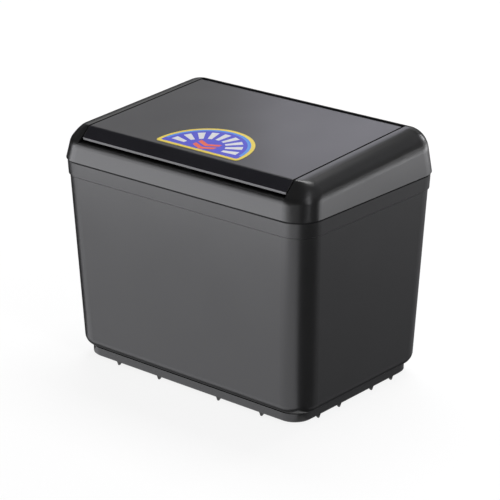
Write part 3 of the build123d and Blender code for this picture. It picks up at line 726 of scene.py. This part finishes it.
def pale_surface(name, tone, glow):
    """Pale surface that shows white to the camera and in reflections, and keeps the bin's shadow."""
    material, tree, shader = new_material(name)
    nodes, links = tree.nodes, tree.links
    shader.inputs["Roughness"].default_value = FLOOR_ROUGHNESS
    shader.inputs["Specular IOR Level"].default_value = 0.0
    mottle = object_noise(tree, FLOOR_MOTTLE, FLOOR_DETAIL)
    spread_colour(tree, mottle, shader.inputs["Base Color"], tone, FLOOR_TONE)
    seen_tone = nodes.new("ShaderNodeBsdfDiffuse")
    seen_tone.inputs["Color"].default_value = [(1.0 - glow) * SHADOW_GAIN] * 3 + [1.0]
    light = nodes.new("ShaderNodeEmission")
    light.inputs["Strength"].default_value = glow
    seen = nodes.new("ShaderNodeAddShader")
    links.new(seen_tone.outputs["BSDF"], seen.inputs[0])
    links.new(light.outputs["Emission"], seen.inputs[1])
    path = nodes.new("ShaderNodeLightPath")
    seen_by = path.outputs["Is Camera Ray"]
    for kind in ("Is Glossy Ray", "Is Transmission Ray"):
        either = nodes.new("ShaderNodeMath")
        either.operation = "MAXIMUM"
        links.new(seen_by, either.inputs[0])
        links.new(path.outputs[kind], either.inputs[1])
        seen_by = either.outputs["Value"]
    choose = nodes.new("ShaderNodeMixShader")
    links.new(seen_by, choose.inputs["Fac"])
    links.new(shader.outputs["BSDF"], choose.inputs[1])
    links.new(seen.outputs["Shader"], choose.inputs[2])
    links.new(choose.outputs["Shader"], nodes["Material Output"].inputs["Surface"])
    return material


def even_glow(name, brightness):
    """Card that glows evenly."""
    material = bpy.data.materials.new(name)
    material.use_nodes = True
    nodes, links = material.node_tree.nodes, material.node_tree.links
    nodes.remove(nodes["Principled BSDF"])
    light = nodes.new("ShaderNodeEmission")
    light.name = "Glow"
    light.inputs["Color"].default_value = (*bpy.context.scene.bin_studio.tint, 1.0)
    light.inputs["Strength"].default_value = brightness
    links.new(light.outputs["Emission"], nodes["Material Output"].inputs["Surface"])
    return material


def ramp_glow(name, near, far, axis, span, side=None, fade=()):
    """Card that changes its glow along an axis, if asked only on one side or fading upwards."""
    material = even_glow(name, far)
    tree = material.node_tree
    light = tree.nodes["Glow"]
    place = tree.nodes.new("ShaderNodeTexCoord")
    split = tree.nodes.new("ShaderNodeSeparateXYZ")
    tree.links.new(place.outputs["Object"], split.inputs["Vector"])
    change = value_ramp(tree, split.outputs[axis], span, (near, far))
    tree.links.new(change.outputs["Result"], light.inputs["Strength"])
    if side:
        limit = value_ramp(tree, split.outputs["X"], side, (far, near))
        tree.links.new(limit.outputs["Result"], change.inputs["To Max"])
    if fade:
        ramp = tree.nodes.new("ShaderNodeValToRGB")
        stops = ramp.color_ramp.elements
        while len(stops) < len(fade):
            stops.new(1.0)
        for stop, (height, share) in zip(stops, fade):
            stop.position = height
            stop.color = [share * c for c in bpy.context.scene.bin_studio.tint] + [1.0]
        tree.links.new(split.outputs["Z"], ramp.inputs["Fac"])
        tree.links.new(ramp.outputs["Color"], light.inputs["Color"])
    return material


def reflected_only(card):
    """Makes a card of the stage show only in reflections."""
    card.visible_camera = card.visible_diffuse = card.visible_transmission = card.visible_shadow = False


def fan_card(name, start, end, reach, rises, material, peak=0.0, spread=FULL_TURN):
    """Card on the floor that fans out from the bin's foot to a standing edge, highest at one turn."""
    low, high = rises
    vertices, faces = [], []
    for step in range(CARD_STEPS + 1):
        x, y, turn = (a + (b - a) * step / CARD_STEPS for a, b in zip(start, end))
        inner = Vector((x, y, CARD_LIFT))
        outer = inner + reach * Vector((sin(radians(turn)), -cos(radians(turn)), 0))
        away = max(-1.0, min(1.0, (turn - peak) / spread))
        share = max(0.0, cos(radians(QUARTER_TURN * away)))
        vertices.extend((inner, outer, outer + Vector((0, 0, low + (high - low) * share))))
        if step:
            now, last = 3 * step, 3 * step - 3
            faces.append((last, last + 1, now + 1, now))
            faces.append((last + 1, last + 2, now + 2, now + 1))
    reflected_only(mesh_piece(name, vertices, faces, material, False))


def foot_shade_shelf(name, material):
    """Narrow shelf round the bin's foot, seen only in reflections: painted shade that stands for the
    floor in shadow next to the foot, which the bottom round mirrors.
    """
    vertices, faces = [], []
    for half_x, half_y in zip(SHELF_HALF_X, SHELF_HALF_Y):
        for x, y in ((-1, -1), (1, -1), (1, 1), (-1, 1)):
            vertices.append((x * half_x, y * half_y, SHELF_HEIGHT))
    for side in range(4):
        after = (side + 1) % 4
        faces.append((side, after, after + 4, side + 4))
    reflected_only(mesh_piece(name, vertices, faces, material, False))


def round_wall(name, high_turn, material):
    """Backdrop round the stage, highest at one turn."""
    vertices, faces = [], []
    for step in range(WALL_STEPS):
        turn = 2 * pi * step / WALL_STEPS
        share = max(0.0, cos(turn - high_turn)) ** WALL_NARROWING
        foot = around(turn, 0.0, WALL_RADIUS, (0, 0, 0))
        vertices.extend((foot, foot + Vector((0, 0, WALL_LOW + (WALL_HIGH - WALL_LOW) * share))))
        now, after = 2 * step, 2 * ((step + 1) % WALL_STEPS)
        faces.append((now, after, after + 1, now + 1))
    mesh_piece(name, vertices, faces, material, False)


def lay_floor(studio):
    """Floor, and the backdrop that stands highest behind the bin."""
    far = FLOOR_REACH
    corners = [(-far, -far, 0), (far, -far, 0), (far, far, 0), (-far, far, 0)]
    pale = pale_surface("pale_floor", studio.floor_colour, studio.floor_glow)
    mesh_piece("floor", corners, [(0, 1, 2, 3)], pale, False)
    wall = pale_surface("pale_wall", studio.floor_colour, studio.backdrop_glow)
    round_wall("backdrop", studio.azimuth + pi, wall)


def lay_cards(studio):
    """Cards that the bin's walls, corners and foot mirror."""
    bounce = ramp_glow(
        "bounce_card", studio.bounce_near, studio.bounce_far, "Y", BOUNCE_RAMP,
        side=BOUNCE_SIDE, fade=BOUNCE_FADE,
    )
    grey = ramp_glow("grey_card", studio.grey_near, studio.grey_far, "X", GREY_RAMP)
    # Painted shade: dim glow of the shelf that stands for the shadowed floor at the bin's foot
    shelf = ramp_glow("foot_shade_shelf", studio.foot_shade_front, studio.foot_shade_side, "X", SHELF_RAMP)
    right = even_glow("right_card", studio.right_card)
    left = even_glow("left_card", studio.left_card)
    round_again = FRONT_LEFT._replace(turn=FRONT_LEFT.turn + FULL_TURN)
    fan_card(
        "bounce_card", FRONT_LEFT, FRONT_RIGHT, BOUNCE_REACH, BOUNCE_RISES, bounce,
        peak=BOUNCE_PEAK, spread=BOUNCE_SPREAD,
    )
    fan_card("right_card", FRONT_RIGHT, RIGHT_FRONT, RIGHT_REACH, RIGHT_RISES, right)
    fan_card("grey_card", RIGHT_FRONT, BACK_LEFT, GREY_REACH, GREY_RISES, grey)
    fan_card("left_card", BACK_LEFT, round_again, LEFT_REACH, LEFT_RISES, left)
    # Painted shade: dim shelf at the foot, mirrored by the bottom round as the floor's shadow
    foot_shade_shelf("foot_shade_shelf", shelf)


def hang_panels(studio):
    """Soft panels and the dim room."""
    panel_lamp("fill_panel", FILL_PANEL, studio.fill, studio.tint)
    panel_lamp("lid_panel", LID_PANEL, studio.lid_light, studio.lid_tint)
    panel_lamp("edge_panel", EDGE_PANEL, studio.edge_light, studio.tint)
    panel_lamp("side_panel", SIDE_PANEL, studio.side_light, studio.tint)
    panel_lamp("rear_panel", REAR_PANEL, studio.rear_light, studio.tint)
    panel_lamp("top_panel", TOP_PANEL, studio.top, WHITE)
    world = bpy.data.worlds.new("dim_room")
    world.use_nodes = True
    background = world.node_tree.nodes["Background"]
    background.inputs["Color"].default_value = (*WHITE, 1.0)
    background.inputs["Strength"].default_value = studio.room
    bpy.context.scene.world = world


def place_camera(studio):
    """Camera at the photograph's viewing angle."""
    camera = bpy.data.cameras.new("camera")
    camera.lens = studio.lens
    view = bpy.data.objects.new("camera", camera)
    bpy.context.scene.collection.objects.link(view)
    view.location = around(studio.azimuth, studio.elevation, studio.distance, studio.target)
    aim(view, studio.target)
    bpy.context.scene.camera = view


class BIN_OT_stage(bpy.types.Operator):
    """Set the floor, backdrop, cards, lamps and camera."""

    bl_idname = "trash_bin.stage"
    bl_label = "Studio"

    def execute(self, context):
        context.scene.view_settings.view_transform = "Standard"
        studio = context.scene.bin_studio
        lay_floor(studio)
        lay_cards(studio)
        hang_panels(studio)
        place_camera(studio)
        return {"FINISHED"}


class BIN_PT_looks(bpy.types.Panel):
    """Lists the bin's pieces and their settings."""

    bl_idname = "BIN_PT_looks"
    bl_label = "Trash Bin"
    bl_space_type = "VIEW_3D"
    bl_region_type = "UI"
    bl_category = "Trash Bin"

    def draw(self, context):
        for operator in OPERATORS:
            self.layout.operator(operator.bl_idname)
        for name in SETTINGS:
            box = self.layout.box()
            group = getattr(context.scene, name)
            for prop in group.bl_rna.properties:
                if prop.identifier not in ("rna_type", "name"):
                    box.prop(group, prop.identifier)


SETTINGS = {
    "bin_moulded": MouldedFinish,
    "bin_sticker": StickerPrint,
    "bin_metal": MetalFinish,
    "bin_studio": StudioSetup,
}
OPERATORS = (
    BIN_OT_body,
    BIN_OT_top,
    BIN_OT_sticker,
    BIN_OT_hinge,
    BIN_OT_latch,
    BIN_OT_ballast,
    BIN_OT_stage,
)
CLASSES = (*SETTINGS.values(), *OPERATORS, BIN_PT_looks)


def register():
    for cls in CLASSES:
        bpy.utils.register_class(cls)
    for name, group in SETTINGS.items():
        setattr(bpy.types.Scene, name, PointerProperty(type=group))


def unregister():
    for name in SETTINGS:
        delattr(bpy.types.Scene, name)
    for cls in reversed(CLASSES):
        bpy.utils.unregister_class(cls)


def main():
    """Builds every piece and the studio."""
    register()
    bpy.ops.trash_bin.body()
    bpy.ops.trash_bin.top()
    bpy.ops.trash_bin.sticker()
    bpy.ops.trash_bin.hinge()
    bpy.ops.trash_bin.latch()
    bpy.ops.trash_bin.ballast()
    bpy.ops.trash_bin.stage()


if __name__ == "__main__":
    main()
